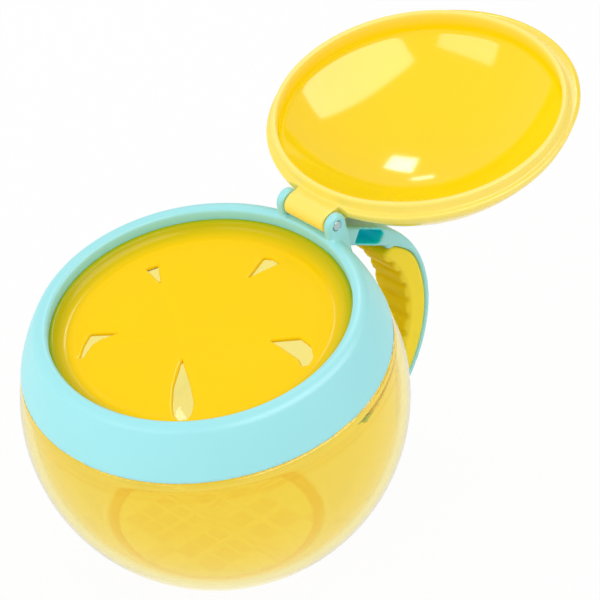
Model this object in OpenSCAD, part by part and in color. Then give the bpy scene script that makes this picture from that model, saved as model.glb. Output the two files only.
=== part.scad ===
// Toddler snack container: a ball-shaped bowl with a tilted screw collar, five soft flaps,
// a hinged dome lid and a hooked carrying handle with a ribbed grip.
// The lid is drawn fully open, as it is held for snacking. Millimetres, front is -Y.

/* [Bowl] */
// Outer radius of the ball
ball_r = 45; // [36:0.5:54]
// Height of the ball's centre above the flat base
centre_h = 37.4; // [31:0.2:40]
// Wall thickness of the bowl
bowl_wall = 2.2; // [1.6:0.1:3]
// Thickness of the bowl's floor
floor_t = 3.2; // [2:0.1:5]
// Forward tilt of the mouth
mouth_tilt = 11; // [0:0.5:16]

/* [Collar] */
// Height of the collar's lower edge above the ball's centre, along the mouth's axis
collar_low = 13.5; // [11:0.1:15]
// Height of the lip's crown above the ball's centre, along the mouth's axis
lip_top = 26; // [25:0.1:28]
// Radius of the hand opening
mouth_r = 35.1; // [30:0.1:36]
// How far the collar stands proud of the ball at its lower edge
collar_proud = 0.27; // [0.1:0.01:0.6]
// Rise of the collar's bulge centre above the ball's centre
bulge_up = 3; // [1:0.1:4]
// Radius of the lip's outer edge
lip_outer_round = 1.4; // [0.8:0.1:1.8]
// Radius of the lip's inner edge
lip_inner_round = 0.9; // [0.5:0.1:1.2]

/* [Neck and thread] */
// How much wider the bowl's neck is than the hand opening, in radius
neck_step = 1.9; // [1.7:0.1:2.4]
// Wall thickness of the neck
neck_wall = 1.8; // [1.4:0.1:2.4]
// Depth of the bowl's thread ridges below the neck's rim
neck_ridge_down = 2; // [1.6:0.1:2.6]
// Rise of the thread in one turn
thread_lead = 12; // [10:0.5:15]
// Number of separate threads
thread_starts = 3; // [2:1:4]
// Angle that each thread covers
thread_span = 60; // [40:5:75]
// Radial depth of the threads
thread_depth = 1; // [0.8:0.05:1.2]
// Height of the bowl's thread ridges
neck_ridge_h = 1.4; // [1:0.1:1.6]
// Height of the collar's thread ridges
collar_ridge_h = 1.2; // [0.9:0.1:1.4]

/* [Seal and flaps] */
// Thickness of the seal ring's section
seal_t = 1.5; // [1:0.1:2]
// Depth of the flap dish below the lip's crown
dish_depth = 4.9; // [4:0.1:6]
// Thickness of the flaps
flap_t = 1.2; // [0.8:0.1:1.6]
// Thickness of the dish's side wall
dish_wall = 0.9; // [0.6:0.1:1.2]
// Thickness of the flange that the collar clamps
flange_t = 1.1; // [0.8:0.1:1.4]
// Width of the dish's floor between its side wall and the slits' outer ends
slit_margin = 5.1; // [4:0.1:8]
// Direction of the first slit
slit_from = -56; // [-80:1:-20]
// Place of the point where the slits meet, to the right of the dish's centre
meet_x = -3.5; // [-5:0.5:5]
// Place of the point where the slits meet, to the back of the dish's centre
meet_y = -4; // [-5:0.5:5]
// Width of the slits
slit_w = 0.4; // [0.3:0.05:0.8]
// Width of the drop-shaped hole near each slit's outer end
drop_w = 4.2; // [3:0.1:5]
// Length of the drop-shaped hole's taper
drop_l = 12; // [8:0.5:14]

/* [Lid] */
// How far the lid's rim reaches past the edge of the hand opening
lid_over = 1.1; // [0.6:0.1:1.6]
// Height of the upright edge round the lid's rim
edge_h = 1.4; // [0.8:0.1:2]
// Radius of the lid's dome
dome_r = 45.2; // [42:0.1:55]
// Wall thickness of the lid
lid_wall = 1.8; // [1.4:0.1:2.4]
// Wall thickness of the ring that plugs the mouth
plug_wall = 1.4; // [1:0.1:2]
// Height of the plug ring
plug_h = 2.8; // [1.5:0.1:2.9]
// How far the thumb tab reaches past the rim
tab_reach = 2.8; // [1.5:0.1:4]
// How much smaller than the lid's rim the thumb tab's outline is, in radius
tab_inset = 1.8; // [1:0.1:10]
// Thickness of the thumb tab
tab_t = 1.6; // [1.2:0.1:3]
// How far the lid is swung open
lid_open = 180; // [0:5:180]

/* [Hinge] */
// Distance of the hinge pin outside the lip's crown
hinge_out = 0.37; // [0.2:0.01:1.5]
// Radius of the hinge pin
pin_r = 1; // [0.8:0.05:1.2]
// How far the pin's heads reach past its side
pin_head_over = 0.35; // [0.2:0.05:0.5]
// Thickness of the pin's head
pin_head_t = 0.6; // [0.4:0.1:1]
// Radial clearance of the pin in the lid's knuckle
pin_clear = 0.06; // [0.03:0.01:0.1]
// Wall of the lid's knuckle round the pin
knuckle_wall = 1.7; // [1.2:0.1:2]
// Width of the lid's knuckle
knuckle_w = 12.4; // [8:0.2:16]
// How far the ears' round tops stand proud of the knuckle
ear_proud = 0.2; // [0:0.1:1.2]
// Thickness of each ear
ear_t = 2.1; // [1.8:0.1:4]
// Gap between an ear and the knuckle
ear_gap = 0.3; // [0.2:0.05:0.5]

/* [Handle] */
// Distance of the hook's centre inside the ball's surface
hook_in = 10.8; // [6:0.2:14]
// Distance of the arm's outer face below the hinge pin
arm_drop = 1.44; // [0.8:0.02:2]
// Outer radius of the hook
hook_r = 32.3; // [28:0.1:36]
// Width of the handle
handle_w = 11; // [8:0.5:14]
// Thickness of the handle's arm
arm_t = 4.8; // [3.6:0.1:6]
// Slope of the arm where it leaves the hinge
arm_slope = 26; // [18:1:34]
// Angle below the horizontal at which the hook ends
hook_end = 62; // [50:1:66]
// Thickness of the spine behind the grip
spine_t = 1.2; // [1:0.1:2]
// Width of the spine's rib inside the grip
spine_rib_w = 5.2; // [3:0.2:6]
// Angle above the horizontal at which the grip starts
grip_start = 50; // [35:1:54]
// Thickness of the grip and spine together
grip_t = 6.6; // [5.5:0.1:8]
// Height of the spine's rib inside the grip, above the spine
spine_rib_h = 2.4; // [1.5:0.1:3]
// Number of ribs on the grip
rib_n = 10; // [6:1:12]
// Height of the ribs on the grip
rib_h = 0.7; // [0.4:0.1:1.2]
// Length of the slot through the arm
slot_l = 9.4; // [6:0.2:11]
// Height of the slot through the arm
slot_h = 3.4; // [2.4:0.1:3.6]
// Distance of the slot's middle from the start of the hook
slot_from_hook = 1.6; // [0:0.2:6]

/* [Fits] */
// Gap between faces that slide or turn past each other
run_gap = 0.3; // [0.2:0.05:0.5]
// Gap where a soft piece lies against its seat
seal_gap = 0.1; // [0.05:0.01:0.2]
// Gap between the shut lid and the lip's crown
lid_gap = 0.2; // [0.1:0.05:0.4]

/* [Hidden] */

$fn = 120;
// A length longer than the whole object, for cutting tools
far = 300;
// Overlap of pieces that are fused into one moulding
weld = 0.4;
// Step between two outlines that would otherwise touch in one point, so that they cross cleanly
hair = 0.03;

// Levels above the ball's centre, along the mouth's axis
shoulder_z = collar_low - run_gap;
inner_shoulder_z = shoulder_z - bowl_wall;
floor_top = lip_top - dish_depth;
floor_bottom = floor_top - flap_t;
flange_top = floor_top + flap_t / 2;
ledge_z = flange_top + 2 * seal_gap;
flange_bottom = flange_top - flange_t;
neck_top = flange_bottom - seal_t - 2 * seal_gap;
rim_z = lip_top + lid_gap;
// The dish's side wall stops short of the plug ring, and its corner is as round as that allows
dish_top = rim_z - plug_h - run_gap;
dish_round = dish_top - floor_top;
neck_ridge_z = neck_top - neck_ridge_down;
collar_ridge_z = neck_ridge_z - (neck_ridge_h + collar_ridge_h) / 2 - run_gap;

// Radii round the mouth's axis
collar_foot_r = sqrt(ball_r * ball_r - collar_low * collar_low) + collar_proud;
bulge_r = sqrt(pow(collar_foot_r, 2) + pow(collar_low - bulge_up, 2));
neck_r = mouth_r + neck_step;
neck_thread_r = neck_r + thread_depth;
collar_bore_r = neck_thread_r + run_gap;
collar_thread_r = collar_bore_r - thread_depth;
// Depth below the collar's edge at which nothing may reach into the bore
bore_run_out = 4;
dish_r = mouth_r - seal_gap - dish_wall;
seal_r = neck_r - neck_wall / 2;
lip_low = lip_top - lip_outer_round;
lip_r = sqrt(pow(bulge_r, 2) - pow(lip_low - bulge_up, 2)) - lip_outer_round + hair;
bulge_top = lip_low + lip_outer_round / 4;

// Flap layout
flap_n = 5;
flap_step = 360 / flap_n;
meet = [meet_x, meet_y];
slit_r = dish_r - slit_margin;
root_x = slit_r * cos(flap_step / 2);
root_gap = run_gap;
// How far a flap's rounded root stops short of its corners
root_inset = 0.2;

// Lid
lid_r = mouth_r + lid_over;
dome_z = rim_z + edge_h - sqrt(dome_r * dome_r - lid_r * lid_r);
plug_r = mouth_r - run_gap;
plug_in_r = plug_r - plug_wall;
tab_r = lid_r - tab_inset;

// Hinge and ears
pin_head_r = pin_r + pin_head_over;
knuckle_r = pin_r + knuckle_wall;
ear_r = knuckle_r + ear_proud;
hinge_y = lip_r + hinge_out;
hinge_z = rim_z + knuckle_r;
ear_in = knuckle_w / 2 + ear_gap;
ear_out = ear_in + ear_t;
// The web's top comes to rest just above the lip when the lid is fully open
web_top = 2 * hinge_z - lip_top - run_gap;
// How far the web reaches inwards past the edge of the hand opening
web_in = 3;
// How far the block behind the lip starts above the collar's edge and ends behind the pin
block_up = 5;
block_back = 3.2;

// Handle. The pin's place seen from the ball's centre, without the mouth's tilt
pin_y = hinge_y * cos(mouth_tilt) - hinge_z * sin(mouth_tilt);
pin_z = hinge_y * sin(mouth_tilt) + hinge_z * cos(mouth_tilt);
arm_angle = 90 - arm_slope;
hook_y = ball_r - hook_in;
hook_z = pin_z - (hook_r + arm_drop + (hook_y - pin_y) * cos(arm_angle)) / sin(arm_angle);
grip_in_r = hook_r - grip_t;
arm_in_r = hook_r - arm_t;
// How far the arm stops short of the point below the pin, inside the hinge block
arm_short = 4.7;
arm_run = (hook_y + hook_r * cos(arm_angle) - pin_y) / cos(arm_slope) - arm_short;
// Angles of the hook's bare end, of the overlap where it changes section, and at the grip's ends
end_span = 4;
section_overlap = 0.5;
grip_end_gap = 0.4;
// Share of the ribs' spacing that a rib takes on each side of its middle
rib_share = 0.3;

function slit_angle(k) = slit_from + flap_step * k;
function slit_end(k) = slit_r * [cos(slit_angle(k)), sin(slit_angle(k))];
function slit_run(k) = (slit_end(k) - meet) / norm(slit_end(k) - meet);
function root_way(k) = [cos(slit_angle(k - 0.5)), sin(slit_angle(k - 0.5))];
function drop_full(k) = norm(slit_end(k) - meet) - drop_w;
function drop_start(k) = drop_full(k) - drop_l;

// Side -1 of flap k is at slit k - 1 and side 1 at slit k. A point on that side, a way along
// the slit and half a gap off it
function side_run(k, side) = slit_run(side < 0 ? k - 1 : k);
function side_off(k, side, gap) = -side * gap / 2 * [-side_run(k, side)[1], side_run(k, side)[0]];
function flap_edge(k, side, along, gap) = meet + side_run(k, side) * along + side_off(k, side, gap);

// Where that side meets the hinge line, and where the two sides meet at the tip
function flap_corner(k, side) = flap_edge(k, side, (root_x - (meet + side_off(k, side, drop_w)) * root_way(k))
                                          / (side_run(k, side) * root_way(k)), drop_w);
function flap_tip(k) = meet + slit_w / norm(side_run(k, 1) - side_run(k, -1)) * half_way(k)
                       / sqrt(1 - pow(norm(side_run(k, 1) - side_run(k, -1)) / 2, 2));
function half_way(k) = (side_run(k, 1) + side_run(k, -1)) / 2;

// Places what follows at the ball's centre
module at_ball() {
    translate([0, 0, centre_h])
        children();
}

// Places what follows at the ball's centre, with +Z along the tilted mouth's axis
module at_mouth() {
    at_ball()
        rotate([mouth_tilt, 0, 0])
            children();
}

// Turns a flat drawing to lie in the plane seen from the side, thick along X
module side_on() {
    rotate([90, 0, 90])
        children();
}

// Everything below a level
module below(z) {
    translate([-far / 2, -far / 2, z - far])
        cube(far);
}

// Everything above a level
module above(z) {
    translate([-far / 2, -far / 2, z])
        cube(far);
}

// A ring with a rectangular section
module ring(r_in, r_out, low, high) {
    rotate_extrude()
        translate([r_in, low])
            square([r_out - r_in, high - low]);
}

// One thread ridge: a sector of a ring, tipped to the thread's slope
module ridge(r_in, r_out, h, z) {
    slope = atan(thread_lead / (2 * PI * r_out));
    translate([0, 0, z])
        rotate([slope, 0, 0])
            rotate([0, 0, -thread_span / 2])
                rotate_extrude(angle = thread_span)
                    translate([r_in, -h / 2])
                        square([r_out - r_in, h]);
}

// The same ridge for each thread start
module thread(r_in, r_out, h, z) {
    for (k = [0:thread_starts - 1])
        rotate([0, 0, 90 + k * 360 / thread_starts])
            ridge(r_in, r_out, h, z);
}

// Ball with a flat base, a floor and a tilted threaded neck
module bowl() {
    color([0.95, 0.88, 0.5, 0.5])
        difference() {
            union() {
                intersection() {
                    at_ball()
                        sphere(r = ball_r);
                    at_mouth()
                        below(shoulder_z);
                    above(0);
                }
                at_mouth()
                    ring(neck_r - neck_wall, neck_r, shoulder_z - weld, neck_top);
                at_mouth()
                    thread(neck_r - weld, neck_thread_r, neck_ridge_h, neck_ridge_z);
            }
            intersection() {
                at_ball()
                    sphere(r = ball_r - bowl_wall);
                at_mouth()
                    below(inner_shoulder_z);
                above(floor_t);
            }
            at_mouth()
                cylinder(r = neck_r - neck_wall, h = far);
        }
}

// Silicone ring on the neck's rim
module seal_ring() {
    color([0.93, 0.93, 0.9])
        at_mouth()
            rotate_extrude()
                translate([seal_r, neck_top + seal_gap + seal_t / 2])
                    circle(d = seal_t);
}

// Half section of the collar's ring: threaded bore, ledge, hand opening and rounded lip
module collar_section() {
    intersection() {
        translate([0, bulge_up])
            circle(r = bulge_r);
        union() {
            translate([collar_bore_r, collar_low])
                square([far, bulge_top - collar_low]);
            translate([mouth_r, ledge_z])
                square([far, bulge_top - ledge_z]);
        }
    }
    translate([lip_r, lip_low])
        circle(r = lip_outer_round);
    translate([mouth_r + lip_inner_round, lip_top - lip_inner_round])
        circle(r = lip_inner_round);
    translate([mouth_r, ledge_z])
        square([lip_r - mouth_r, lip_top - lip_inner_round - ledge_z]);
    translate([mouth_r + lip_inner_round, ledge_z])
        square([lip_r - mouth_r - lip_inner_round, lip_top - ledge_z]);
}

// What the hinge block and the handle must leave free for the mouth, the neck and the ball
module back_trim() {
    cylinder(r = mouth_r + weld, h = far);
    translate([0, 0, collar_low - bore_run_out])
        cylinder(r = collar_bore_r + weld, h = ledge_z - collar_low + bore_run_out);
    intersection() {
        sphere(r = ball_r + run_gap);
        below(collar_low);
    }
}

// One hinge ear and the block below it, on the right side
module ear() {
    translate([ear_in, hinge_y, hinge_z])
        rotate([0, 90, 0])
            cylinder(r = ear_r, h = ear_t);
    translate([ear_in, hinge_y - ear_r, lip_top - 2 * lip_outer_round])
        cube([ear_t, 2 * ear_r, hinge_z - lip_top + 2 * lip_outer_round]);
}

// Flat section of the hook: full width outside, a rib towards the grip
module spine_section() {
    translate([hook_r - spine_t, -handle_w / 2])
        square([spine_t, handle_w]);
    translate([hook_r - spine_t - spine_rib_h, -spine_rib_w / 2])
        square([spine_rib_h + weld, spine_rib_w]);
}

// Flat section of the handle where no grip covers it
module bare_section() {
    translate([arm_in_r, -handle_w / 2])
        square([arm_t, handle_w]);
}

// Turns a section about the hook's centre from one angle to another
module sweep(from, to) {
    translate([0, hook_y, hook_z])
        side_on()
            rotate([0, 0, from])
                rotate_extrude(angle = to - from)
                    children();
}

// Straight arm from the hook up to the hinge block
module arm() {
    translate([0, hook_y, hook_z])
        side_on()
            rotate([0, 0, arm_angle])
                translate([arm_in_r, -weld, -handle_w / 2])
                    cube([arm_t, arm_run + weld, handle_w]);
}

// Slot through the arm, round at the back and square at the front
module arm_slot() {
    translate([0, hook_y, hook_z])
        side_on()
            rotate([0, 0, arm_angle])
                translate([arm_in_r + arm_t / 2, slot_from_hook + (slot_h - slot_l) / 2, -far / 2]) {
                    translate([-slot_h / 2, 0, 0])
                        cube([slot_h, slot_l - slot_h / 2, far]);
                    cylinder(d = slot_h, h = far);
                }
}

// Handle: the arm, the hook's bare ends and the spine behind the grip
module handle() {
    difference() {
        arm();
        arm_slot();
    }
    difference() {
        sweep(grip_start, arm_angle)
            bare_section();
        arm_slot();
    }
    sweep(-hook_end + end_span, grip_start + section_overlap)
        spine_section();
    sweep(-hook_end, -hook_end + end_span)
        bare_section();
}

// Hinge block, ears and handle, trimmed to the ring they join
module back_parts() {
    difference() {
        union() {
            at_mouth()
                translate([-ear_out, mouth_r, collar_low + block_up])
                    cube([2 * ear_out, hinge_y - mouth_r + block_back, lip_top - collar_low - block_up]);
            at_mouth()
                ear();
            at_mouth()
                mirror([1, 0, 0])
                    ear();
            at_ball()
                handle();
        }
        at_mouth()
            back_trim();
    }
}

// Screw collar with the hinge ears and the handle in one moulding
module collar() {
    color([0.66, 0.91, 0.92])
        union() {
            difference() {
                union() {
                    at_mouth()
                        rotate_extrude()
                            collar_section();
                    back_parts();
                }
                at_mouth()
                    along_hinge(knuckle_r + run_gap, 2 * ear_in);
                at_mouth()
                    along_hinge(pin_r + pin_clear / 2, 2 * ear_out + 1);
                at_mouth()
                    pin_seats();
            }
            at_mouth()
                thread(collar_thread_r, collar_bore_r + weld, collar_ridge_h, collar_ridge_z);
        }
}

// A round bar along the hinge's axis
module along_hinge(r, l) {
    translate([-l / 2, hinge_y, hinge_z])
        rotate([0, 90, 0])
            cylinder(r = r, h = l);
}

// Shallow seats for the pin's heads in the ears' outer faces
module pin_seats() {
    for (side = [-1, 1])
        translate([side * (ear_out - pin_head_t / 2), hinge_y, hinge_z])
            rotate([0, 90, 0])
                cylinder(r = pin_head_r + seal_gap, h = pin_head_t + seal_gap, center = true);
}

// Steel pin with a flat head at each end
module hinge_pin() {
    color([0.75, 0.77, 0.78])
        at_mouth()
            union() {
                along_hinge(pin_r, 2 * ear_out - pin_head_t);
                for (side = [-1, 1])
                    translate([side * (ear_out - pin_head_t / 2), hinge_y, hinge_z])
                        rotate([0, 90, 0])
                            cylinder(r = pin_head_r, h = pin_head_t - 2 * seal_gap, center = true);
            }
}

// Soft ribbed grip, wrapped round the hook's spine from the inside
module handle_grip() {
    first = -hook_end + end_span + grip_end_gap;
    last = grip_start - grip_end_gap;
    color([0.98, 0.83, 0.2])
        at_ball()
            union() {
                difference() {
                    sweep(first, last)
                        translate([grip_in_r, -handle_w / 2])
                            square([grip_t - spine_t - seal_gap, handle_w]);
                    sweep(first - 1, last + 1)
                        translate([hook_r - spine_t - spine_rib_h - seal_gap, -spine_rib_w / 2 - seal_gap])
                            square([grip_t, spine_rib_w + 2 * seal_gap]);
                }
                for (i = [0:rib_n - 1])
                    grip_rib(first + (i + 0.5) * (last - first) / rib_n, (last - first) / rib_n);
            }
}

// One rib across the grip's inner face
module grip_rib(angle, pitch) {
    sweep(angle - rib_share * pitch, angle + rib_share * pitch)
        translate([grip_in_r - rib_h, -handle_w / 2 + rib_h])
            square([rib_h + weld, handle_w - 2 * rib_h]);
}

// Dish with a clamped flange, a round-cornered side wall and a five-sided opening for the flaps
module flap_ring() {
    color([1, 0.83, 0])
        at_mouth()
            difference() {
                rotate_extrude()
                    dish_section();
                translate([0, 0, floor_bottom - weld])
                    linear_extrude(flap_t + 2 * weld)
                        rotate([0, 0, slit_from])
                            circle(r = (root_x + flap_t / 2 + root_gap) / cos(flap_step / 2), $fn = flap_n);
            }
}

// Half section of the dish: floor, side wall with a round corner, and flange
module dish_section() {
    translate([root_x, floor_bottom])
        square([dish_r + dish_wall - root_x, flap_t]);
    translate([dish_r, floor_bottom])
        square([dish_wall, dish_top - floor_bottom]);
    difference() {
        translate([dish_r - dish_round, floor_bottom])
            square([dish_round + dish_wall / 2, dish_round + flap_t - weld / 4]);
        translate([dish_r - dish_round, floor_top + dish_round])
            circle(r = dish_round);
    }
    translate([dish_r + dish_wall / 2, flange_bottom])
        square([collar_bore_r - run_gap - dish_r - dish_wall / 2, flange_top - flange_bottom]);
}

// One flap: a plate that narrows to the meeting point, with a round root at the hinge line
module flap(k) {
    near = [flap_corner(k, -1), flap_corner(k, 1)];
    root_l = norm(near[1] - near[0]) - 2 * root_inset;
    middle = (near[0] + near[1]) / 2;
    color([1, 0.84, 0.02])
        at_mouth()
            union() {
                translate([0, 0, floor_bottom])
                    linear_extrude(flap_t)
                        polygon([flap_tip(k),
                                 flap_edge(k, 1, drop_start(k), slit_w),
                                 flap_edge(k, 1, drop_full(k), drop_w),
                                 near[1],
                                 near[0],
                                 flap_edge(k, -1, drop_full(k - 1), drop_w),
                                 flap_edge(k, -1, drop_start(k - 1), slit_w)]);
                translate([middle[0], middle[1], floor_bottom + flap_t / 2])
                    rotate([0, 0, slit_angle(k - 0.5)])
                        rotate([90, 0, 0])
                            cylinder(d = flap_t, h = root_l, center = true);
            }
}

module flap_1() { flap(1); }

module flap_2() { flap(2); }

module flap_3() { flap(3); }

module flap_4() { flap(4); }

module flap_5() { flap(5); }

// Half section of the closed lid: dome, upright edge and plug ring
module lid_section() {
    difference() {
        union() {
            intersection() {
                translate([0, dome_z])
                    circle(r = dome_r);
                translate([0, rim_z + edge_h])
                    square(far);
            }
            translate([0, rim_z])
                square([lid_r + hair, edge_h]);
            translate([0, rim_z - plug_h])
                square([plug_r, plug_h]);
        }
        intersection() {
            translate([0, dome_z])
                circle(r = dome_r - lid_wall);
            translate([-far / 2, rim_z - plug_h - weld])
                square([far / 2 + plug_in_r, far]);
        }
    }
}

// Crescent that the thumb lifts, at the front of the closed lid
module thumb_tab() {
    difference() {
        translate([0, tab_r - lid_r - tab_reach, rim_z])
            cylinder(r = tab_r, h = tab_t);
        translate([0, 0, rim_z - weld])
            cylinder(r = lid_r - lid_wall, h = tab_t + 2 * weld);
    }
}

// Knuckle that turns on the pin, and its web to the dome
module knuckle() {
    along_hinge(knuckle_r, knuckle_w);
    difference() {
        translate([-knuckle_w / 2, mouth_r - web_in, rim_z])
            cube([knuckle_w, hinge_y - mouth_r + web_in, web_top - rim_z]);
        translate([0, 0, dome_z])
            sphere(r = dome_r - lid_wall + weld);
    }
}

// The space that an ear needs in the lid's rim
module ear_space() {
    room = ear_r + run_gap;
    translate([knuckle_w / 2, hinge_y, hinge_z])
        rotate([0, 90, 0])
            cylinder(r = room, h = ear_t + 2 * ear_gap);
    translate([knuckle_w / 2, hinge_y - room, rim_z - weld])
        cube([ear_t + 2 * ear_gap, 2 * room, knuckle_r + weld]);
}

// The lid as it lies when shut
module lid_shut() {
    difference() {
        union() {
            rotate_extrude()
                lid_section();
            thumb_tab();
            knuckle();
        }
        ear_space();
        mirror([1, 0, 0])
            ear_space();
        along_hinge(pin_r + pin_clear, 2 * far);
    }
}

// Domed lid with its plug ring, thumb tab and hinge knuckle, swung open about the pin
module lid() {
    color([1, 0.87, 0.15])
        at_mouth()
            translate([0, hinge_y, hinge_z])
                rotate([-lid_open, 0, 0])
                    translate([0, -hinge_y, -hinge_z])
                        lid_shut();
}

bowl();
seal_ring();
collar();
handle_grip();
flap_ring();
flap_1();
flap_2();
flap_3();
flap_4();
flap_5();
lid();
hinge_pin();
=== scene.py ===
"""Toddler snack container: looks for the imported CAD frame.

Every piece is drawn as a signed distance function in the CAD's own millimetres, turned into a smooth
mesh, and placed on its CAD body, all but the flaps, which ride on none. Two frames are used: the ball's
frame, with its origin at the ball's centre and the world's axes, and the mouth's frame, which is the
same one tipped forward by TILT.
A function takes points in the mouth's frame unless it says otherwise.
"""
import math

import bpy
import bmesh
import numpy as np
from mathutils import Matrix, Quaternion, Vector


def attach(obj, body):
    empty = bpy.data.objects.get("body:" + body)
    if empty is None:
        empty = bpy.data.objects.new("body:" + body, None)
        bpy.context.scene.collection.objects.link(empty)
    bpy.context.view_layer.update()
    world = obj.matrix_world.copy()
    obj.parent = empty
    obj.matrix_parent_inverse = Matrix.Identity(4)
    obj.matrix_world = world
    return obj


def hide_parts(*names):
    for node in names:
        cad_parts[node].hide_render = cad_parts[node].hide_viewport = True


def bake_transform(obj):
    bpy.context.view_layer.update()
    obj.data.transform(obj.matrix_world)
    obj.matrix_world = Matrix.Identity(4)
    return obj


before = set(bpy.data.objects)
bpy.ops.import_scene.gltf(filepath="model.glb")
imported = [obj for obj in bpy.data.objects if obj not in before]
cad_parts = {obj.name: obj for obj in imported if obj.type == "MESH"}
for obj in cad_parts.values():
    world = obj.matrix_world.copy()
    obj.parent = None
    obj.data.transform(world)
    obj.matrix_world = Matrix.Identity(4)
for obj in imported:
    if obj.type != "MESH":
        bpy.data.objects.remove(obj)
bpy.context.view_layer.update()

MM = 0.001
TILT = math.radians(11)
BALL = Vector((0, 0, 37.4))
COS, SIN = math.cos(TILT), math.sin(TILT)
FAR = 1e3

# Sizes as in the CAD, in mm where nothing else is said

# Bowl, with its floor in the ball's frame
BALL_R, WALL, FLOOR_Z = 45.0, 2.2, -34.2
NECK_R, NECK_IN, NECK_LOW, NECK_TOP = 37.0, 35.2, 12.0, 18.9
BALL_ROOM_TOP, NECK_ROOM_LOW = 11.0, 5.0
SKIN_GAP = 0.3
SEAL_R, SEAL_UP, SEAL_HALF = 36.1, 0.85, 0.75

# Screw thread: FIRST_START and THREAD_HALF are angles round the mouth, in degrees
LEAD, STARTS, FIRST_START, THREAD_HALF = 12.0, 3, 90.0, 30.0
THREAD_DEPTH, THREAD_SUNK = 1.0, 0.6
BOWL_THREAD_H, BOWL_THREAD_Z = 1.4, NECK_TOP - 2
COLLAR_THREAD_H, COLLAR_THREAD_Z = 1.2, 15.3

# Collar: its outside is part of a sphere with its centre at SHELL_Z
MOUTH_R, BORE_R, LEDGE_Z = 35.1, 38.3, 21.9
LIP_TOP, COLLAR_LOW = 26.0, 13.5
SHELL_R, SHELL_Z = 44.46, 3.0
MOUTH_GAP, BORE_GAP, BACK_LOW = 0.2, 0.4, 9.5

# Hinge
HINGE_Y, HINGE_Z, HINGE_GAP = 37.854, 28.9, 0.3
EAR_R, EAR_IN, EAR_OUT, EAR_FOOT_Z = 2.9, 6.5, 8.6, 24.6
BLOCK_MIDDLE, BLOCK_HALF = (0, 38.1, 22.2), (EAR_OUT, 2.95, 3.8)
KNUCKLE_R, KNUCKLE_HALF = 2.7, 6.2
PIN_R, PIN_GAP = 1.0, 0.06
HEAD_R, HEAD_HALF, HEAD_IN = 1.15, 0.2, 0.3
SEAT_GAP, SEAT_DEPTH = 0.25, 0.65

# Handle: an arm with a slot, then a spine and a middle rib that bend round the hook's centre.
# FROM and TO are angles about that centre, in degrees.
HOOK_Y, HOOK_Z, HOOK_R, HANDLE_HALF = 34.2, -3.2, 32.3, 5.5
ARM_T, ARM_ANGLE, ARM_START, ARM_END = 4.8, math.radians(64), -1.6, 14.0
BEND_LOW, CORNER_T, CORNER_LOW, CORNER_HIGH, CORNER_OUT = -17.0, 4.6, -18.0, -6.0, 20.0
SPINE_T, SPINE_FROM, SPINE_TO, TIP_FROM = 1.2, -58.0, 64.0, -62.0
SLOT_ALONG, SLOT_HALF_L, SLOT_HALF_H = 1.6, 4.7, 1.7
RIB_HALF, RIB_IN, RIB_OUT, RIB_GAP = 2.6, 28.7, 31.7, 0.1
GRIP_IN, GRIP_OUT, GRIP_FROM, GRIP_TO, GRIP_GAP = 25.7, 31.0, -57.6, 49.6, 0.1
RIDGES, RIDGE_SHARE, RIDGE_IN, RIDGE_OUT, RIDGE_SHORT = 10, 0.3, 25.0, 27.0, 0.6
DEGREE = 0.5  # about how many mm a degree is along the hook

# Flap insert: SLIT_FROM is an angle round the mouth, in degrees
FLOOR_TOP, FLAP_T, DISH_R, DISH_WALL = 21.1, 1.2, 34.1, 0.9
DISH_Z, FLANGE_Z, FLANGE_R = (19.9, 23.1), (20.65, 21.65), (34.5, 38.0)
SLIT_R, SLIT_FROM, MEET = 29.0, -56.0, (-3.5, -4.0)
FLAPS = range(1, 6)

# Lid: above LIP_TOP + LID_LIFT the collar's fillets make room for it
LID_R, DOME_R, LID_WALL, RIM_Z, EDGE_H = 36.2, 45.2, 1.8, 26.2, 1.4
DOME_Z = RIM_Z + EDGE_H - math.sqrt(DOME_R**2 - LID_R**2)
PLUG_R, PLUG_WALL, PLUG_H, PLUG_UP, PLUG_FILLET = 34.8, 1.4, 2.8, 1.0, 0.4
TAB_R, TAB_REACH, TAB_T = 34.4, 2.8, 1.6
WEB_Y, WEB_Z, WEB_SUNK = (32.1, 37.84), (RIM_Z, 31.5), 1.2
LID_LIFT = 0.03

# What only the skins have: the insert's soft relief, and the places where light and shade are painted
# into the colour
CROWN_H, CROWN_R, DENT_H, LINE_W = 0.27, 26.0, 0.04, 0.5
RAISED_H, RAISED_R, SWELL_H, SWELL_REACH = 0.12, 30.0, 0.16, 8.0
# The bowl's painted shade: the floor disc's radius, and the height and share of the line below the
# collar
SHADED_BASE_R, BOWL_SHADE_LINE_Z, BOWL_SHADE_LINE = 26.5, 9.1, 0.7


# Distance functions


def both(a, b, r):
    """Where a and b are both solid, with a round edge of radius r."""
    corner = np.hypot(np.maximum(r + a, 0), np.maximum(r + b, 0))
    return np.minimum(-r, np.maximum(a, b)) + corner


def either(a, b, r):
    """a and b joined, with a round fillet of radius r where they meet."""
    corner = np.hypot(np.maximum(r - a, 0), np.maximum(r - b, 0))
    return np.maximum(r, np.minimum(a, b)) - corner


def less(a, b, r):
    """a with b cut out of it, with a round edge of radius r."""
    return both(a, -b, r)


def between(v, low, high):
    """The slab in which v lies between low and high."""
    return np.abs(v - (low + high) / 2) - (high - low) / 2


def block(x, y, z, centre, half, r):
    """A box with round edges."""
    q = [np.abs(v - c) - h + r for v, c, h in zip((x, y, z), centre, half)]
    out = np.sqrt(sum(np.maximum(v, 0) ** 2 for v in q))
    return out + np.minimum(np.maximum(np.maximum(q[0], q[1]), q[2]), 0) - r


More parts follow.
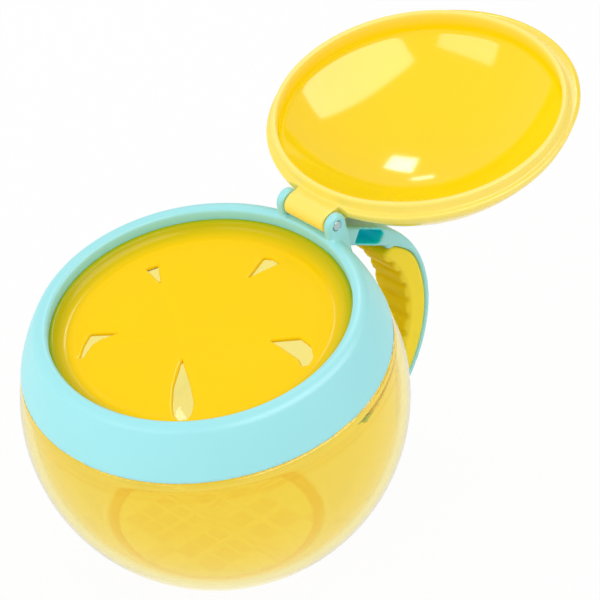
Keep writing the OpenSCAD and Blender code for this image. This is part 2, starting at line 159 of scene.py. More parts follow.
def polygon(x, y, points):
    """Distance to a flat polygon, negative inside."""
    best = np.full(np.shape(x), FAR, np.float32)
    inside = np.zeros(np.shape(x), bool)
    for (ax, ay), (bx, by) in zip(points, points[1:] + points[:1]):
        ex, ey, wx, wy = bx - ax, by - ay, x - ax, y - ay
        t = np.clip((wx * ex + wy * ey) / (ex * ex + ey * ey), 0, 1)
        best = np.minimum(best, np.hypot(wx - t * ex, wy - t * ey))
        if ay != by:
            inside ^= ((ay > y) != (by > y)) & (x < ax + (y - ay) * ex / ey)
    return np.where(inside, -best, best)


# Frames


def to_mouth(y, z):
    """The ball frame's y and z in the mouth's frame."""
    return y * COS + z * SIN, z * COS - y * SIN


def to_ball(y, z):
    """The mouth frame's y and z in the ball's frame."""
    return y * COS - z * SIN, y * SIN + z * COS


def hook_frame(y, z):
    """Radius and angle in degrees about the hook's centre."""
    by, bz = to_ball(y, z)
    return np.hypot(by - HOOK_Y, bz - HOOK_Z), np.degrees(np.arctan2(bz - HOOK_Z, by - HOOK_Y))


def arm_frame(y, z):
    """How far out from the hook's centre across the arm, and how far along it towards the hinge."""
    by, bz = to_ball(y, z)
    out = (by - HOOK_Y) * math.cos(ARM_ANGLE) + (bz - HOOK_Z) * math.sin(ARM_ANGLE)
    along = (bz - HOOK_Z) * math.cos(ARM_ANGLE) - (by - HOOK_Y) * math.sin(ARM_ANGLE)
    return out, along


def from_hinge(y, z):
    """Distance from the hinge's axis."""
    return np.hypot(y - HINGE_Y, z - HINGE_Z)


# Handle and grip


def slot(x, y, z):
    """The slot through the arm: round at the back, square at the front."""
    out, along = arm_frame(y, z)
    out, along = out - HOOK_R + ARM_T / 2, along - SLOT_ALONG
    round_end = np.hypot(out, along + SLOT_HALF_L - SLOT_HALF_H) - SLOT_HALF_H
    front = np.maximum(along - SLOT_HALF_L, -along - SLOT_HALF_L + SLOT_HALF_H)
    return np.minimum(round_end, both(np.abs(out) - SLOT_HALF_H, front, 0.4))


def grip_limits(y, z):
    """The grip's two ends, and its side towards the arm."""
    _, angle = hook_frame(y, z)
    out, _ = arm_frame(y, z)
    return between(angle, GRIP_FROM, GRIP_TO) * DEGREE, out - HOOK_R + ARM_T + GRIP_GAP


def grip_section(y, z):
    """The grip without its ridges, seen from the side: its top outer corner is round."""
    rho, _ = hook_frame(y, z)
    ends, top = grip_limits(y, z)
    return both(np.maximum(between(rho, GRIP_IN, GRIP_OUT), ends), top, 2.6)


def grip(x, y, z):
    """The soft grip with its ridges, and the groove that the handle's middle rib sits in."""
    rho, angle = hook_frame(y, z)
    side = np.abs(x) - HANDLE_HALF
    pitch = (GRIP_TO - GRIP_FROM) / RIDGES
    turn = (angle - GRIP_FROM) % pitch - pitch / 2
    across = (np.abs(turn) - RIDGE_SHARE * pitch) * math.pi / 180 * RIDGE_IN
    ridges = both(between(rho, RIDGE_IN, RIDGE_OUT), across, 0.45)
    ridges = both(ridges, side + RIDGE_SHORT, 0.5)
    ridges = np.maximum(ridges, np.maximum(*grip_limits(y, z)))
    body = either(both(grip_section(y, z), side, 0.9), ridges, 0.7)
    groove = np.maximum(between(rho, RIB_IN - RIB_GAP, HOOK_R + 1.5), np.abs(x) - RIB_HALF - RIB_GAP)
    return less(body, groove, 0.05)


def arm(y, z):
    """The thick part of the handle seen from the side: the straight arm, its bend and the hook's tip."""
    rho, angle = hook_frame(y, z)
    out, along = arm_frame(y, z)
    inner = HOOK_R - ARM_T
    straight = np.maximum(between(along, ARM_START, ARM_END), inner - out)
    straight = np.maximum(straight, np.where(along > 0, out, rho) - HOOK_R)
    bend = np.maximum(np.maximum(rho - HOOK_R, inner - out), between(along, BEND_LOW, 0))
    corner = np.maximum(between(rho, HOOK_R - CORNER_T, HOOK_R), between(along, CORNER_LOW, CORNER_HIGH))
    corner = np.maximum(np.maximum(corner, CORNER_OUT - out), GRIP_GAP - grip_section(y, z))
    tip = np.maximum(between(rho, inner, HOOK_R), between(angle, TIP_FROM, SPINE_FROM) * DEGREE)
    return either(np.minimum(straight, np.minimum(bend, corner)), tip, 0.1)


def handle(x, y, z):
    """The mint arm, spine and hook end."""
    rho, angle = hook_frame(y, z)
    side, sweep = np.abs(x) - HANDLE_HALF, between(angle, SPINE_FROM, SPINE_TO)
    spine = np.maximum(between(rho, HOOK_R - SPINE_T, HOOK_R), sweep)
    rib = np.maximum(np.maximum(between(rho, RIB_IN, RIB_OUT), np.abs(x) - RIB_HALF), sweep)
    body = either(both(arm(y, z), side, 0.9), both(spine, side, 0.45), 0.3)
    return less(np.minimum(body, rib), slot(x, y, z), 0.5)


# Collar, bowl and seal


def threads(x, y, z, root, crest, height, middle):
    """The screw's ridges on a wall of radius root."""
    r, angle = np.hypot(x, y), np.degrees(np.arctan2(y, x))
    ridge = np.full(np.shape(x), FAR, np.float32)
    for k in range(STARTS):
        turn = (angle - FIRST_START - 360 / STARTS * k + 180) % 360 - 180
        across = np.abs(z - middle - LEAD * turn / 360) - height / 2
        along = (np.abs(turn) - THREAD_HALF) * math.pi / 180 * r
        ridge = np.minimum(ridge, both(across, along, 0.5))
    sign = 1 if crest > root else -1
    return both(both(ridge, sign * (r - crest), 0.3), sign * (root - sign * THREAD_SUNK - r), 0.05)


def ears(x, y, z):
    """The two hinge ears: round above the axis, straight down to the block below it."""
    foot = np.abs(z - EAR_FOOT_Z) - (HINGE_Z - EAR_FOOT_Z)
    foot = np.maximum(np.abs(y - HINGE_Y) - EAR_R, foot)
    profile = np.minimum(from_hinge(y, z) - EAR_R, foot)
    return both(profile, between(np.abs(x), EAR_IN, EAR_OUT), 0.7)


def inside_collar(r, z, mouth_gap=0, bore_gap=0):
    """The room inside the collar: the mouth, and the wider bore below the ledge."""
    return np.minimum(r - MOUTH_R - mouth_gap, np.maximum(r - BORE_R - bore_gap, z - LEDGE_Z))


def collar(x, y, z):
    """The ring round the mouth, with the hinge's block and ears and the handle."""
    r = np.hypot(x, y)
    shell = both(np.hypot(r, z - SHELL_Z) - SHELL_R, z - LIP_TOP, 1.4)
    shell = less(shell, inside_collar(r, z), 0.9)
    shell = both(shell, COLLAR_LOW - z, 0.35)
    back = either(block(x, y, z, BLOCK_MIDDLE, BLOCK_HALF, 0.8), handle(x, y, z), 1.2)
    back = either(back, ears(x, y, z), 0.8)
    back = less(back, np.maximum(inside_collar(r, z, MOUTH_GAP, BORE_GAP), BACK_LOW - z), 0.2)
    body = either(shell, back, 1.0)
    lid_room = np.minimum(r - LID_R - HINGE_GAP, np.maximum(np.abs(x) - EAR_IN, y - HINGE_Y))
    lid_room = np.maximum(lid_room, LIP_TOP + LID_LIFT - z)
    body = np.minimum(np.maximum(body, -lid_room), ears(x, y, z))
    notch = np.maximum(from_hinge(y, z) - KNUCKLE_R - HINGE_GAP, np.abs(x) - EAR_IN)
    body = less(body, notch, 0.15)
    seat = np.maximum(from_hinge(y, z) - HEAD_R - SEAT_GAP, EAR_OUT - SEAT_DEPTH - np.abs(x))
    body = less(body, seat, 0.1)
    crest = BORE_R - THREAD_DEPTH
    return np.minimum(body, threads(x, y, z, BORE_R, crest, COLLAR_THREAD_H, COLLAR_THREAD_Z))


def bowl(x, y, z):
    """The clear ball with its flat base and threaded neck, in the ball's frame."""
    my, mz = to_mouth(y, z)
    ball, r = np.sqrt(x * x + y * y + z * z), np.hypot(x, my)
    body = both(ball - BALL_R, mz - COLLAR_LOW + SKIN_GAP, 0.3)
    body = both(body, -BALL.z - z, 0.9)
    neck = both(np.maximum(r - NECK_R, NECK_LOW - mz), mz - NECK_TOP, 0.5)
    body = either(body, neck, 0.3)
    crest = NECK_R + THREAD_DEPTH
    body = np.minimum(body, threads(x, my, mz, NECK_R, crest, BOWL_THREAD_H, BOWL_THREAD_Z))
    room = both(ball - BALL_R + WALL, mz - BALL_ROOM_TOP, 1.0)
    room = both(room, FLOOR_Z - z, 0.9)
    room = either(room, np.maximum(r - NECK_IN, NECK_ROOM_LOW - mz), 0.6)
    return less(body, room, 0.5)


def seal(x, y, z):
    """The soft ring between the neck and the insert."""
    return np.hypot(np.hypot(x, y) - SEAL_R, z - NECK_TOP - SEAL_UP) - SEAL_HALF


# Lid and pin


def tongue(x, y, z, ball):
    """The knuckle round the pin and its web to the dome. Ball is the distance from the dome's centre."""
    barrel = from_hinge(y, z) - KNUCKLE_R
    web = np.maximum(between(y, *WEB_Y), between(z, *WEB_Z))
    body = both(either(barrel, web, 0.6), np.abs(x) - KNUCKLE_HALF, 0.5)
    return np.maximum(body, DOME_R - WEB_SUNK - ball)


def ear_room(x, y, z):
    """The two places that the ears need in the closed lid."""
    foot = np.maximum(np.abs(y - HINGE_Y) - EAR_R - HINGE_GAP, z - HINGE_Z)
    profile = np.minimum(from_hinge(y, z) - EAR_R - HINGE_GAP, foot)
    return np.maximum(profile, between(np.abs(x), EAR_IN - HINGE_GAP, EAR_OUT + HINGE_GAP))


def lid(x, y, z):
    """The closed lid."""
    r = np.hypot(x, y)
    ball = np.sqrt(x * x + y * y + (z - DOME_Z) ** 2)
    outer = both(both(ball - DOME_R, r - LID_R, 0.8), RIM_Z - z, 0.5)
    plug = both(np.maximum(r - PLUG_R, z - RIM_Z - PLUG_UP), RIM_Z - PLUG_H - z, 0.6)
    room = both(ball - DOME_R + LID_WALL, r - PLUG_R + PLUG_WALL, 0.8)
    body = less(either(outer, plug, PLUG_FILLET), room, 0.6)
    tab = np.hypot(x, y + LID_R + TAB_REACH - TAB_R) - TAB_R
    tab = both(tab, np.abs(z - RIM_Z - TAB_T / 2) - TAB_T / 2, 0.7)
    body = either(body, np.maximum(tab, LID_R - LID_WALL - r), 0.8)
    body = less(either(body, tongue(x, y, z, ball), 0.6), ear_room(x, y, z), 0.1)
    below_rim = np.maximum(z - RIM_Z, PLUG_R + PLUG_FILLET - r)
    body = np.maximum(body, -below_rim)
    return less(body, from_hinge(y, z) - PIN_R - PIN_GAP, 0.05)


def pin(x, y, z):
    """The hinge pin with a flat head at each end."""
    r = from_hinge(y, z)
    end = np.abs(x) - EAR_OUT + HEAD_IN
    head = both(r - HEAD_R, np.abs(end) - HEAD_HALF, 0.12)
    return np.minimum(np.maximum(r - PIN_R, end), head)


# Flap insert

# Openings between the flaps, as outlines
OPENINGS = [
    [(3.1, -9.9), (8.0, -17.6), (12.3, -22.4), (14.8, -24.4), (17.0, -24.9), (18.1, -23.6),
     (17.6, -21.6), (15.6, -18.9), (11.0, -15.2)],
    [(15.5, 6.4), (20.7, 11.0), (24.6, 10.4), (27.4, 8.1), (28.4, 5.6), (27.6, 4.4), (25.4, 5.6),
     (20.7, 6.1)],
    [(-3.4, 19.0), (-5.1, 25.9), (-3.4, 26.9), (-0.9, 26.6)],
    [(-19.1, 5.7), (-25.2, 7.1), (-23.9, 9.8)],
    [(-15.3, -12.4), (-20.1, -16.2), (-18.8, -19.5), (-16.3, -23.6), (-16.0, -22.8), (-17.3, -18.7),
     (-17.0, -16.2)],
]


def slit_end(k):
    """The outer end of the slit between flap k and the next."""
    angle = math.radians(SLIT_FROM + 72 * k)
    return SLIT_R * math.cos(angle), SLIT_R * math.sin(angle)


def slit_distance(x, y):
    """Distance from the nearest slit line."""
    best = np.full(np.shape(x), FAR, np.float32)
    for k in range(5):
        ex, ey = slit_end(k)
        dx, dy = ex - MEET[0], ey - MEET[1]
        t = np.clip(((x - MEET[0]) * dx + (y - MEET[1]) * dy) / (dx * dx + dy * dy), 0, 1)
        best = np.minimum(best, np.hypot(x - MEET[0] - t * dx, y - MEET[1] - t * dy))
    return best


def membrane(x, y, z):
    """The flap ring and the five flaps in one, before the flaps are cut apart."""
    r, near = np.hypot(x, y), slit_distance(x, y)
    crown = CROWN_H * np.clip(1 - (r / CROWN_R) ** 2, 0, None) ** 2
    dent = DENT_H * np.exp(-((near / LINE_W) ** 2))
    raised = RAISED_H * np.exp(-(((r - RAISED_R) / LINE_W) ** 2))
    swell = SWELL_H * np.clip(near / SWELL_REACH, 0, 1) ** 2 * np.clip(1 - r / RAISED_R, 0, 1)
    plate = np.abs(z - FLOOR_TOP + FLAP_T / 2 + crown + dent - raised - swell) - FLAP_T / 2
    plate = both(plate, r - DISH_R - DISH_WALL, 0.3)
    wall = both(between(r, DISH_R, DISH_R + DISH_WALL), between(z, *DISH_Z), 0.3)
    flange = both(between(z, *FLANGE_Z), between(r, *FLANGE_R), 0.3)
    body = either(either(plate, wall, 3.2), flange, 0.2)
    gap = np.full(np.shape(x), FAR, np.float32)
    for outline in OPENINGS:
        gap = np.minimum(gap, polygon(x, y, outline))
    return less(body, gap, 0.5)


# Meshes from distances


def grid_points(counts):
    """All whole-number points of a grid, one a row."""
    return np.stack(np.meshgrid(*[np.arange(n) for n in counts], indexing="ij"), -1).reshape(-1, 3)


def sample(field, low, high, step, chunk=400000):
    """The field on a grid, worked out only in the blocks near the surface."""
    size = 8
    counts = [int(math.ceil((b - a) / step / size)) + 1 for a, b in zip(low, high)]
    corners, inner = grid_points(counts), grid_points([size] * 3)
    middle = np.array(low) + (corners * size + (size - 1) / 2) * step
    rough = field(*middle.T)
    slack = 1.15
    near = np.abs(rough) < math.sqrt(3) * (size / 2 + 1) * step * slack
    grid = np.where(rough < 0, -1.0, 1.0).astype(np.float32)
    grid = np.repeat(grid[:, None], size**3, axis=1)
    which = np.flatnonzero(near)
    per = max(1, chunk // size**3)
    for i in range(0, len(which), per):
        some = which[i : i + per]
        points = (corners[some][:, None] * size + inner[None]).reshape(-1, 3) * step + np.array(low)
        grid[some] = field(*points.T).reshape(len(some), -1)
    shape = counts + [size] * 3
    return grid.reshape(shape).transpose(0, 3, 1, 4, 2, 5).reshape([n * size for n in counts])


def settle(field, points, step):
    """Moves points onto the surface, along the field's slope."""
    e, flattest, longest = 0.02, 0.2, 0.6 * step
    for _ in range(3):
        x, y, z = points.T
        slope = np.stack([
            field(x + e, y, z) - field(x - e, y, z),
            field(x, y + e, z) - field(x, y - e, z),
            field(x, y, z + e) - field(x, y, z - e)], -1) / (2 * e)
        steepness = np.maximum((slope**2).sum(-1), flattest)
        move = -(field(x, y, z) / steepness)[:, None] * slope
        size = np.linalg.norm(move, axis=1, keepdims=True)
        points = points + move * np.minimum(1, longest / np.maximum(size, 1e-9))
    return points


def cell_points(grid, cells, offsets):
    """One point in each grid cell that the surface crosses, and the number of each cell's point."""

    def corner(a, o):
        return a[o[0] : o[0] + cells[0], o[1] : o[1] + cells[1], o[2] : o[2] + cells[2]]

    count = sum(corner(grid < 0, o).astype(np.int8) for o in offsets)
    where = np.argwhere((count > 0) & (count < 8))
    index = np.full(cells, -1, np.int64)
    index[tuple(where.T)] = np.arange(len(where))
    values = np.stack([grid[tuple((where + o).T)] for o in offsets], 1)
    total, hits = np.zeros((len(where), 3)), np.zeros(len(where))
    for i, a in enumerate(offsets):
        for j, b in enumerate(offsets):
            if j > i and sum(abs(p - q) for p, q in zip(a, b)) == 1:
                cross = (values[:, i] < 0) != (values[:, j] < 0)
                t = values[:, i] / np.where(cross, values[:, i] - values[:, j], 1)
                total += np.where(cross[:, None], np.array(a) + t[:, None] * (np.array(b) - a), 0)
                hits += cross
    return where + total / hits[:, None], index


def surface(field, low, high, step):
    """Points and quads of the field's zero surface."""
    grid = sample(field, low, high, step)
    cells = [n - 1 for n in grid.shape]
    offsets = [(a, b, c) for a in (0, 1) for b in (0, 1) for c in (0, 1)]
    points, index = cell_points(grid, cells, offsets)
    quads = []
    for axis in range(3):
        u, v = np.eye(3, dtype=int)[(axis + 1) % 3], np.eye(3, dtype=int)[(axis + 2) % 3]
        lower = np.take(grid < 0, range(grid.shape[axis] - 1), axis)
        upper = np.take(grid < 0, range(1, grid.shape[axis]), axis)
        at = np.argwhere(lower != upper)
        at = at[np.all((at >= u + v) & (at < np.array(cells)), axis=1)]
        ring = [index[tuple((at - s).T)] for s in (0 * u, u, u + v, v)]
        face = np.stack(ring, 1)
        flip = ~lower[tuple(at.T)]
        face[flip] = face[flip][:, ::-1]
        quads.append(face[(face >= 0).all(1)])
    return settle(field, points * step + np.array(low), step), np.concatenate(quads)


def link(name, mesh):
    """A new object with this data, in the scene."""
    obj = bpy.data.objects.new(name, mesh)
    bpy.context.scene.collection.objects.link(obj)
    return obj


def make(name, field, low, high, step, place, shade=None):
    """A smooth mesh object of the field, in the row's frame, found between low and high.

    Place turns its points into the ball's frame. Shade gives each point's share of the colour that
    paints in light and shade.
    """
    points, quads = surface(field, low, high, step)
    placed = (place(points) + np.array(BALL)) * MM
    mesh = bpy.data.meshes.new(name)
    mesh.from_pydata(placed.tolist(), [], quads.tolist())
    mesh.polygons.foreach_set("use_smooth", np.ones(len(quads), bool))
    if shade:
        layer = mesh.attributes.new("shade", "FLOAT", "POINT")
        layer.data.foreach_set("value", np.clip(shade(*points.T), 0, 1).astype(np.float32))
    mesh.update()
    return link(name, mesh)


def from_ball(points):
    """Points that are already in the ball's frame."""
    return points


def from_mouth(points):
    """Points of the mouth's frame in the ball's frame."""
    y, z = to_ball(points[:, 1], points[:, 2])
    return np.stack([points[:, 0], y, z], -1)


def open_lid(points):
    """Swings the closed lid right over about its pin, then as from_mouth."""
    turned = points.copy()
    turned[:, 1] = 2 * HINGE_Y - points[:, 1]
    turned[:, 2] = 2 * HINGE_Z - points[:, 2]
    return from_mouth(turned)


# Painted light and shade: where each piece takes the colour that stands in for them


def collar_painted_slot_light(x, y, z):
    """Painted light inside the slot: the deep teal of light through the plastic."""
    return 1.2 - np.abs(slot(x, y, z)) / 0.4 - 3 * (np.abs(x) > HANDLE_HALF - 0.15)


def membrane_painted_shade(x, y, z):
    """Painted shade and the collar's reflection: olive up the side wall."""
    return (np.hypot(x, y) - 30.5) / 4 * (z > FLOOR_TOP - FLAP_T)


def lid_painted_light(x, y, z):
    """Painted light: pale towards the thin rim, the plug ring and the tongue, less so on the tab."""
    r = np.hypot(x, y)
    inside = 1 - (z - RIM_Z + PLUG_H) / 4
    outside = 0.8 - np.maximum(z - RIM_Z - 3, 0) / 3 - 0.6 * (r > LID_R + 0.3)
    web = 0.8 * (np.abs(x) < KNUCKLE_HALF + 0.5) * (y > LID_R - 1)
    return np.maximum(np.where(r < PLUG_R - 0.3, inside, outside), web)


def grip_painted_light(x, y, z):
    """Painted light: pale on the flat sides, where the light falls."""
    return (np.abs(x) - HANDLE_HALF + 1.1) / 0.5


def bowl_painted_shade(x, y, z):
    """Painted shade: deep over the flat floor and in a line below the collar, in the ball's frame."""
    _, mz = to_mouth(y, z)
    line = BOWL_SHADE_LINE * np.exp(-(((mz - BOWL_SHADE_LINE_Z) / LINE_W) ** 2))
    return np.maximum((FLOOR_Z + 0.5 - z) / 0.4 * (np.hypot(x, y) < SHADED_BASE_R), line)


# Materials

# Noise scales, in cells a metre, and the sockets of a Mix node that mixes colours
TINT_SCALE, GLOSS_SCALE, GRAIN_SCALE, CLEAR_SCALE, RIPPLE_SCALE = 25, 60, 900, 18, 140
MIX_SHARE, MIX_A, MIX_B, MIX_RESULT = 0, 6, 7, 2


def linear(r, g, b):
    """An sRGB colour of 0 to 255 as linear values."""
    values = [c / 255 / 12.92 if c <= 10 else ((c / 255 + 0.055) / 1.055) ** 2.4 for c in (r, g, b)]
    return values + [1.0]


class Nodes:
    """Short calls for building one material."""

    def __init__(self, name):
        self.material = bpy.data.materials.new(name)
        self.material.use_nodes = True
        self.tree = self.material.node_tree
        self.shader = self.tree.nodes["Principled BSDF"]

    def add(self, kind, **values):
        """A new node; each value goes to the input of that name, or else to the node itself."""
        node = self.tree.nodes.new(kind)
        for key, value in values.items():
            if key in node.inputs:
                node.inputs[key].default_value = value
            else:
                setattr(node, key, value)
        return node

    def join(self, a, out, b, into):
        self.tree.links.new(a.outputs[out], b.inputs[into])

    def set(self, **values):
        """Sets the shader's own inputs."""
        for key, value in values.items():
            self.shader.inputs[key.replace("_", " ")].default_value = value

    def noise(self, scale, detail=3.0):
        place = self.add("ShaderNodeTexCoord")
        noise = self.add("ShaderNodeTexNoise", Scale=scale, Detail=detail)
        self.join(place, "Object", noise, "Vector")
        return noise

    def tint(self, colours, scale, spread=0.35):
        """A colour that wanders slowly between the two given ones."""
        ramp = self.add("ShaderNodeValToRGB")
        ends = ramp.color_ramp.elements
        ends[0].position, ends[1].position = 0.5 - spread, 0.5 + spread
        ends[0].color, ends[1].color = linear(*colours[0]), linear(*colours[1])
        self.join(self.noise(scale), "Fac", ramp, "Fac")
        self.join(ramp, "Color", self.shader, "Base Color")
        return ramp

    def mix_painted_light(self, ramp, colour):
        """Mixes painted light and shade into the colour, by the mesh's shade."""
        share = self.add("ShaderNodeAttribute", attribute_name="shade")
        mix = self.add("ShaderNodeMix", data_type="RGBA")
        mix.inputs[MIX_B].default_value = linear(*colour)
        self.join(share, "Fac", mix, MIX_SHARE)
        self.join(ramp, "Color", mix, MIX_A)
        self.join(mix, MIX_RESULT, self.shader, "Base Color")

    def bump(self, scale, distance, strength=0.25):
        bump = self.add("ShaderNodeBump", Strength=strength, Distance=distance)
        self.join(self.noise(scale, 4.0), "Fac", bump, "Height")
        self.join(bump, "Normal", self.shader, "Normal")

    def gloss(self, low, high, scale, dull):
        """Roughness that wanders between low and high, and rises by dull with the share of painted
        light.
        """
        ranged = self.add("ShaderNodeMapRange")
        ranged.inputs["To Min"].default_value = low
        ranged.inputs["To Max"].default_value = high
        self.join(self.noise(scale), "Fac", ranged, "Value")
        share = self.add("ShaderNodeAttribute", attribute_name="shade")
        more = self.add("ShaderNodeMath", operation="MULTIPLY_ADD")
        more.inputs[1].default_value = dull
        self.join(share, "Fac", more, 0)
        self.join(ranged, "Result", more, 2)
        self.join(more, "Value", self.shader, "Roughness")


def moulded(name, colours, rough, grain=0.00002, deep=None, dull=0.0, **values):
    """Moulded plastic, rubber or metal with slight colour, gloss and surface variation."""
    n = Nodes(name)
    ramp = n.tint(colours, TINT_SCALE)
    # Painted light and shade, where the look has them
    if deep:
        n.mix_painted_light(ramp, deep)
    n.gloss(*rough, GLOSS_SCALE, dull)
    n.bump(GRAIN_SCALE, grain)
    n.set(**values)
    return n.material


def clear_bowl(name):
    """Clear yellow plastic with a faint ripple."""
    n = Nodes(name)
    ramp = n.tint([(248, 231, 130), (251, 235, 138)], CLEAR_SCALE)
    # Painted shade: deeper yellow over the flat floor and in a line below the collar
    n.mix_painted_light(ramp, (247, 214, 40))
    n.set(Transmission_Weight=1.0, IOR=1.46, Roughness=0.03)
    n.bump(RIPPLE_SCALE, 0.00001, 0.12)
    return n.material


LOOKS = {
    "mint": dict(
        # Painted light: deep teal in the slot, where light comes through the plastic
        colours=[(156, 226, 230), (160, 230, 234)], rough=(0.34, 0.42), deep=(0, 225, 236),
        Specular_IOR_Level=0.4),
    "yellow_lid": dict(
        # Painted light: pale on the thin rim, the plug ring and the tongue
        colours=[(255, 220, 0), (255, 223, 2)], rough=(0.08, 0.12), grain=0.000006, deep=(255, 230, 112),
        dull=0.3, Specular_IOR_Level=0.5),
    "yellow_soft": dict(
        # Painted shade and the collar's reflection: olive up the side wall
        colours=[(254, 207, 0), (255, 210, 0)], rough=(0.16, 0.22), grain=0.00001, deep=(176, 178, 0),
        Specular_IOR_Level=0.12),
    "yellow_grip": dict(
        # Painted light: pale on the flat sides
        colours=[(255, 220, 0), (255, 224, 4)], rough=(0.5, 0.6), grain=0.00004, deep=(254, 224, 56),
        Specular_IOR_Level=0.1,
        Subsurface_Weight=0.4, Subsurface_Radius=(1.0, 1.0, 1.0), Subsurface_Scale=0.003),
    "clear_soft": dict(colours=[(232, 232, 224), (238, 238, 230)], rough=(0.4, 0.5)),
    "steel": dict(colours=[(168, 186, 186), (184, 200, 200)], rough=(0.25, 0.35), Metallic=1.0),
}
MATERIALS = {name: moulded(name, **look) for name, look in LOOKS.items()}
MATERIALS["tinted_clear"] = clear_bowl("tinted_clear")


# Pieces

# Name, field, the corners of the box it lies in, grid step, frame, painted light and shade, slot, body
# and CAD node
PIECES = [
    ("collar_skin", collar, (-47, -47, -40), (47, 75, 34), 0.5, from_mouth, collar_painted_slot_light,
     "mint", "collar", "collar"),
    ("bowl_skin", bowl, (-47, -47, -39.5), (47, 47, 30), 0.6, from_ball, bowl_painted_shade,
     "tinted_clear", "bowl", "bowl"),
    ("seal_skin", seal, (-38, -38, 18), (38, 38, 22), 0.4, from_mouth, None,
     "clear_soft", "seal", "seal_ring"),
    ("grip_skin", grip, (-8, 35, -40), (8, 75, 30), 0.35, from_mouth, grip_painted_light,
     "yellow_grip", "collar", "handle_grip"),
    ("lid_skin", lid, (-40, -42, 22), (40, 43, 47), 0.5, open_lid, lid_painted_light,
     "yellow_lid", "lid", "lid"),
    ("pin_skin", pin, (-11, 35, 26), (11, 40, 31), 0.12, from_mouth, None,
     "steel", "collar", "hinge_pin"),
]
MEMBRANE = ("membrane", membrane, (-39, -39, 19), (39, 39, 25), 0.4, from_mouth, membrane_painted_shade)


def wedge_planes(k):
    """Point and outward direction of the three upright planes round flap k: two slits and the root."""
    a, b = Vector((*slit_end(k - 1), 0)), Vector((*slit_end(k), 0))
    meet = Vector((*MEET, 0))
    planes = []
    for end, other in ((a, b), (b, a)):
        side = (end - meet).cross(Vector((0, 0, 1))).normalized()
        planes.append((meet, side if side.dot(other - meet) < 0 else -side))
    planes.append((a, (a + b).normalized()))
    return planes


def row_point(v):
    """A point of the mouth's frame, in metres in the row's frame."""
    y, z = to_ball(v[1], v[2])
    return (Vector((v[0], y, z)) + BALL) * MM


def row_way(v):
    """A direction of the mouth's frame in the row's frame."""
    y, z = to_ball(v[1], v[2])
    return Vector((v[0], y, z)).normalized()


def bisect(bm, point, way, clear=False):
    """Cuts the mesh along a plane, and may clear what lies outward of it."""
    return bmesh.ops.bisect_plane(
        bm, geom=bm.verts[:] + bm.edges[:] + bm.faces[:], dist=1e-9,
        plane_co=row_point(point), plane_no=row_way(way), clear_outer=clear)


def copy_of(whole):
    bm = bmesh.new()
    bm.from_mesh(whole.data)
    return bm


def bm_object(bm, name):
    mesh = bpy.data.meshes.new(name)
    bm.to_mesh(mesh)
    bm.free()
    return link(name, mesh)


def cut_flap(whole, k):
    """Flap k, closed along its two slits and open at its root."""
    bm = copy_of(whole)
    for number, plane in enumerate(wedge_planes(k)):
        cut = bisect(bm, *plane, clear=True)
        edges = [e for e in cut["geom_cut"] if isinstance(e, bmesh.types.BMEdge)]
        if number < 2:
            bmesh.ops.edgeloop_fill(bm, edges=edges)
        for edge in edges:
            edge.smooth = False
    return bm_object(bm, f"flap_{k}_skin")


def cut_ring(whole):
    """What is left of the membrane without its flaps."""
    bm = copy_of(whole)
    roots = [wedge_planes(k)[2] for k in FLAPS]
    for plane in roots:
        bisect(bm, *plane)
    planes = [(row_point(p), row_way(w)) for p, w in roots]
    inside = [f for f in bm.faces if all((f.calc_center_median() - p).dot(w) < 0 for p, w in planes)]
    bmesh.ops.delete(bm, geom=inside, context="FACES")
    return bm_object(bm, "flap_ring_skin")


def finish_piece(obj, slot_name, node, body=None):
    """Gives a piece the material of its slot and hides the CAD node that it stands for; puts it on the
    body it rides on, if given.
    """
    obj.data.materials.append(MATERIALS[slot_name])
    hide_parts(node)
    if body:
        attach(obj, body)


def build():
    """Makes every piece. The flaps meet their ring without a seam."""
    for *how, slot_name, body, node in PIECES:
        finish_piece(make(*how), slot_name, node, body)
    bpy.data.objects["bowl_skin"].visible_shadow = False
    whole = make(*MEMBRANE)
    flaps = [cut_flap(whole, k) for k in FLAPS]
    finish_piece(cut_ring(whole), "yellow_soft", "flap_ring", "collar")
    bpy.data.objects.remove(whole)
    for k, flap in zip(FLAPS, flaps):
        finish_piece(flap, "yellow_soft", f"flap_{k}")
        a, way = wedge_planes(k)[2]
        root = way * a.dot(way)
        root.z = FLOOR_TOP - FLAP_T / 2
        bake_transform(flap)


# Studio

CAMERA_WAY = 44, 34.2
LENS, SENSOR, DISTANCE = 360.0, 36.0, 1.381
AIM_RIGHT, AIM_UP = 0.0195, 0.02198
LAMP_AIM, LAMP_DISTANCE = Vector((0, 0.03, 0.05)), 0.9
AMBIENT, FLOOR_GREY, FLOOR_WHITE = 0.85, 0.9, 0.95


def towards(azimuth, elevation):
    """The way from the object to a camera or lamp, from two angles in degrees."""
    a, e = math.radians(azimuth), math.radians(elevation)
    return Vector((math.sin(a) * math.cos(e), -math.cos(a) * math.cos(e), math.sin(e)))


def camera():
    """The camera at the photograph's viewing angle."""
    azimuth = math.radians(CAMERA_WAY[0])
    back, right = towards(*CAMERA_WAY), Vector((math.cos(azimuth), math.sin(azimuth), 0))
    up = back.cross(right)
    data = bpy.data.cameras.new("camera")
    data.lens, data.sensor_width, data.sensor_fit = LENS, SENSOR, "HORIZONTAL"
    data.clip_end = 20
    aim = BALL * MM + right * AIM_RIGHT + up * AIM_UP
    obj = link("camera", data)
    turn = Matrix((right, up, back)).transposed().to_4x4()
    obj.matrix_world = Matrix.Translation(aim + back * DISTANCE) @ turn
    bpy.context.scene.camera = obj


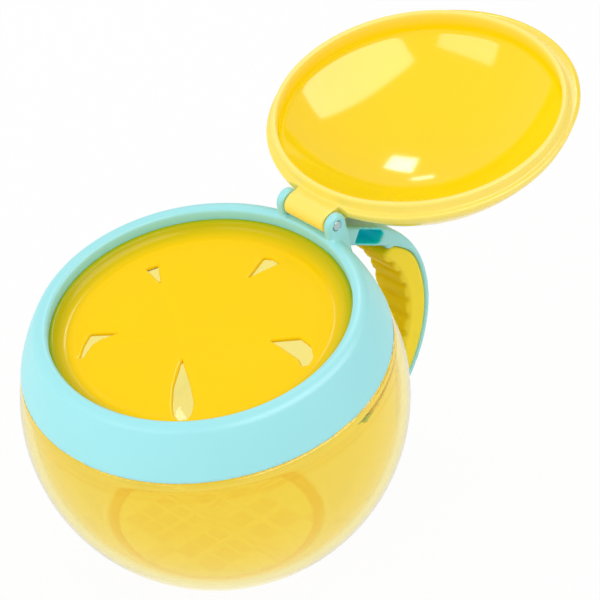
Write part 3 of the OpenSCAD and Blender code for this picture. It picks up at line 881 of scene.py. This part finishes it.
def softbox(name, way, size, power, roll=0, diffuse=True, glossy=True):
    """An area light seen from the object in the given direction, in degrees, facing it."""
    way = towards(*way)
    data = bpy.data.lights.new(name, "AREA")
    data.shape, data.energy = "RECTANGLE", power
    data.size, data.size_y = size
    obj = link(name, data)
    obj.location = LAMP_AIM + way * LAMP_DISTANCE
    facing = way.to_track_quat("Z", "Y") @ Quaternion((0, 0, 1), math.radians(roll))
    obj.rotation_euler = facing.to_euler()
    obj.visible_diffuse, obj.visible_glossy, obj.visible_transmission = diffuse, glossy, False


def calculate(tree, operation, *values):
    """The result of a Math node; each value is a number or another node's output."""
    node = tree.nodes.new("ShaderNodeMath")
    node.operation = operation
    for socket, value in zip(node.inputs, values):
        if isinstance(value, bpy.types.NodeSocket):
            tree.links.new(value, socket)
        else:
            socket.default_value = value
    return node.outputs[0]


def seen_white(tree, kind, plain, surface_input, share):
    """Shows white to camera, glossy and transmission rays, for that share, and plain to the rest."""
    path, glow = tree.nodes.new("ShaderNodeLightPath").outputs, tree.nodes.new(kind)
    glow.inputs["Strength"].default_value = 1.0
    seen = calculate(tree, "MAXIMUM", path["Is Camera Ray"], path["Is Transmission Ray"])
    seen = calculate(tree, "MAXIMUM", seen, path["Is Glossy Ray"])
    mix = tree.nodes.new("ShaderNodeMixShader")
    tree.links.new(calculate(tree, "MULTIPLY", seen, share), mix.inputs[0])
    tree.links.new(plain, mix.inputs[1])
    tree.links.new(glow.outputs[0], mix.inputs[2])
    tree.links.new(mix.outputs[0], surface_input)


def surroundings():
    """The white world and the pale floor."""
    world = bpy.data.worlds.new("studio")
    bpy.context.scene.world = world
    world.use_nodes = True
    tree = world.node_tree
    ambient = tree.nodes["Background"]
    ambient.inputs["Color"].default_value = (1, 1, 1, 1)
    ambient.inputs["Strength"].default_value = AMBIENT
    output = tree.nodes["World Output"].inputs["Surface"]
    seen_white(tree, "ShaderNodeBackground", ambient.outputs[0], output, 1.0)
    bpy.ops.mesh.primitive_plane_add(size=8, location=(0, 0, 0))
    floor = bpy.context.object
    floor.name = "floor"
    n = Nodes("floor")
    n.set(Base_Color=(FLOOR_GREY, FLOOR_GREY, FLOOR_GREY, 1), Roughness=0.6, Specular_IOR_Level=0.2)
    output = n.tree.nodes["Material Output"].inputs["Surface"]
    seen_white(n.tree, "ShaderNodeEmission", n.shader.outputs[0], output, FLOOR_WHITE)
    floor.data.materials.append(n.material)


def lamps():
    """Three lamps light the object. The window and the two spots only show in its reflections."""
    softbox("key", (-6, 35), (0.65, 0.24), 1.7, roll=9)
    softbox("fill", (-62, 22), (0.8, 0.6), 0.7, glossy=False)
    softbox("side", (115, 40), (0.8, 0.6), 0.8, glossy=False)
    softbox("window", (100, 48), (1.35, 0.6), 11.5, roll=-9, diffuse=False)
    softbox("spot", (-142, 55), (0.17, 0.18), 1.4, roll=-11, diffuse=False)
    softbox("spot_low", (-131, 42), (0.12, 0.04), 0.15, diffuse=False)


build()
camera()
surroundings()
lamps()
bpy.context.scene.view_settings.view_transform = "Standard"
